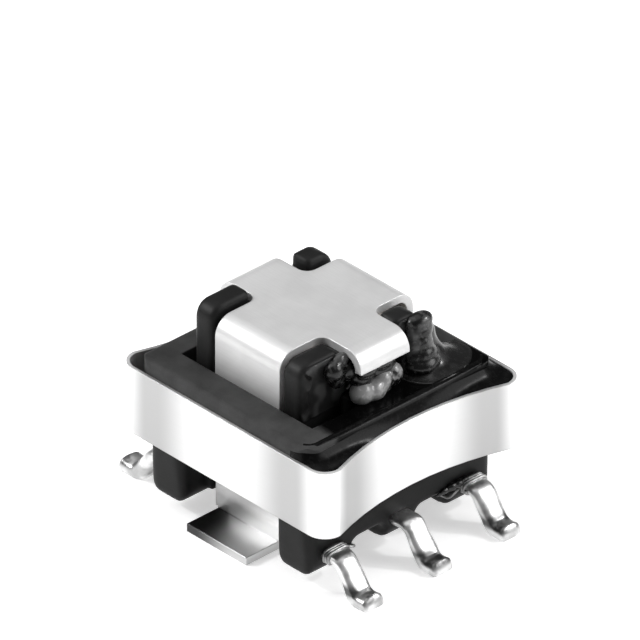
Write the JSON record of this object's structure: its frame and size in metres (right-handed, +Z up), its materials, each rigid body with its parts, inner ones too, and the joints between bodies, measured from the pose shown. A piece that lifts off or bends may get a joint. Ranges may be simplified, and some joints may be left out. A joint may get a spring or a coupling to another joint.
{
  "type": "surface-mount current-sense transformer",
  "caption": "Surface-mount current-sense transformer: banded ferrite core on a moulded former, with a plated one-turn strip, soldering feet and gull-wing pins.",
  "frame": {"origin": "on the circuit board's surface under the centre of the ferrite core", "axes": "+Z up from the board, +X along the winding's axis towards the row with pins 1 to 3, and the strip's soldering feet at -Y and +Y"},
  "size_m": [0.008, 0.0061, 0.0053],
  "materials": {
    "ferrite": "matte",
    "moulding": "matte",
    "enamelled_wire": "gloss",
    "tape": "satin",
    "plated_strip": "satin",
    "band": "satin",
    "tinned_pin": "gloss",
    "adhesive": "gloss"
  },
  "bodies": {
    "root": {"core_half_front": "ferrite", "core_half_rear": "ferrite", "coil_former": "moulding", "secondary_winding": "enamelled_wire", "winding_tape": "tape", "primary_strip": "plated_strip", "core_band": "band", "pin_1": "tinned_pin", "pin_2": "tinned_pin", "pin_3": "tinned_pin", "pin_4": "tinned_pin", "pin_5": "tinned_pin", "pin_6": "tinned_pin", "lead_start": "enamelled_wire", "lead_finish": "enamelled_wire", "glue_front_horn": "adhesive", "glue_lip": "adhesive", "glue_corner": "adhesive"}
  },
  "joints": []
}
